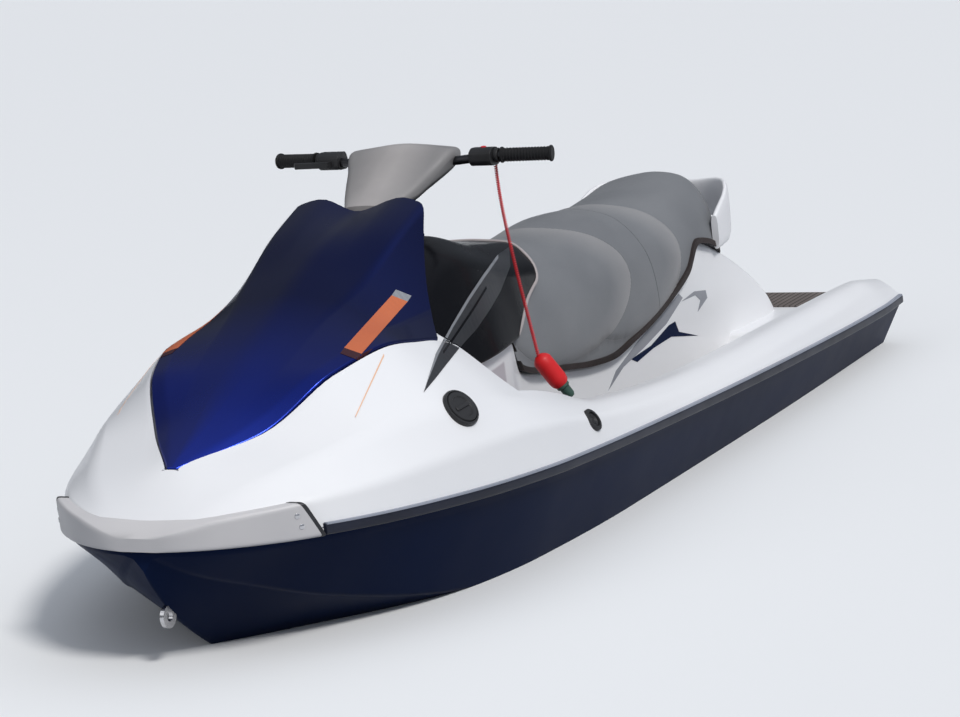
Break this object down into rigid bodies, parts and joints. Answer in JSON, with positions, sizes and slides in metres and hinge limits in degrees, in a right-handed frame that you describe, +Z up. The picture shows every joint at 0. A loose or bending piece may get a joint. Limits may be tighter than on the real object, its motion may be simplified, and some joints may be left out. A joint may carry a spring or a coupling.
{
  "type": "personal watercraft",
  "caption": "Three-seat jet watercraft afloat: opening hood and glove box, turning handlebar and steering nozzle, free impeller, bench seat, footwells, grab handle and bow bumper.",
  "frame": {"origin": "on the centreplane, amidships, at the height of the still waterline", "axes": "+X towards the bow, +Y to port, +Z up"},
  "size_m": [3.24, 1.174, 1.1717],
  "materials": {
    "bar_steel": "painted steel tube",
    "black_trim": "satin black moulding",
    "bumper_grey": "satin light grey bumper",
    "cowl_gloss": "glossy black moulding",
    "deck_gelcoat": "glossy white gelcoat",
    "engine_block": "plain block standing in for the engine",
    "float_foam": "red foam",
    "grip_rubber": "black ribbed rubber",
    "handle_white": "white gloss moulding",
    "hood_paint": "metallic navy paint with a blue facet",
    "hull_gelcoat": "glossy dark navy gelcoat",
    "lanyard_red": "red coiled cord",
    "mat_foam": "brown grey ribbed foam",
    "pad_grey": "warm grey soft moulding",
    "pump_alloy": "cast aluminium",
    "rail_black": "black rub rail",
    "screen": "dark display glass",
    "seat_vinyl": "grey marine vinyl over foam",
    "stainless": "polished stainless steel"
  },
  "bodies": {
    "craft": {"bow_bumper": "bumper_grey", "bow_eye": "stainless", "console": "cowl_gloss", "dash": "black_trim", "deck": "deck_gelcoat", "display": "screen", "engine": "engine_block", "foot_mat_port": "mat_foam", "foot_mat_starboard": "mat_foam", "fuel_cap": "black_trim", "grab_handle": "handle_white", "hood_pin": "stainless", "hull": "hull_gelcoat", "intake_grate": "pump_alloy", "lid_pin": "stainless", "platform_mat": "mat_foam", "pump_housing": "pump_alloy", "ride_plate": "pump_alloy", "rub_rail_port": "rail_black", "rub_rail_starboard": "rail_black", "seat_front": "seat_vinyl", "seat_rear": "seat_vinyl", "side_cowl_port": "cowl_gloss", "side_cowl_starboard": "cowl_gloss", "side_vent": "black_trim", "sponson_port": "black_trim", "sponson_starboard": "black_trim", "steering_base": "black_trim", "stern_eye_port": "stainless", "stern_eye_starboard": "stainless", "storage_bin": "black_trim"},
    "steering": {"steering_stem": "bar_steel", "handlebar": "bar_steel", "grip_port": "grip_rubber", "grip_starboard": "grip_rubber", "switch_housing": "black_trim", "throttle_housing": "black_trim", "throttle_lever": "black_trim", "bar_pad": "pad_grey", "lanyard": "lanyard_red", "lanyard_float": "float_foam"},
    "hood": {"hood": "hood_paint"},
    "glove_lid": {"glove_lid": "cowl_gloss"},
    "impeller": {"impeller": "stainless"},
    "nozzle": {"nozzle": "pump_alloy"}
  },
  "joints": [
    {"name": "steering_turn", "type": "hinge", "parent": "craft", "child": "steering", "pos_m": [0.25, 0, 0.905], "axis": [-0.342, 0, 0.9397], "range_deg": [-20, 20]},
    {"name": "hood_hinge", "type": "hinge", "parent": "craft", "child": "hood", "pos_m": [1.449, 0, 0.419], "axis": [0, 1, 0], "range_deg": [0, 50]},
    {"name": "glove_lid_hinge", "type": "hinge", "parent": "craft", "child": "glove_lid", "pos_m": [0.219, 0, 0.668], "axis": [0, 1, 0], "range_deg": [0, 55]},
    {"name": "impeller_spin", "type": "hinge", "parent": "craft", "child": "impeller", "pos_m": [-1.265, 0, -0.12], "axis": [1, 0, 0], "continuous": true},
    {"name": "nozzle_swing", "type": "hinge", "parent": "craft", "child": "nozzle", "pos_m": [-1.475, 0, -0.12], "axis": [0, 0, 1], "range_deg": [-20, 20]}
  ],
  "couplings": [
    {"joint": "nozzle_swing", "follows": "steering_turn", "ratio": -1}
  ]
}
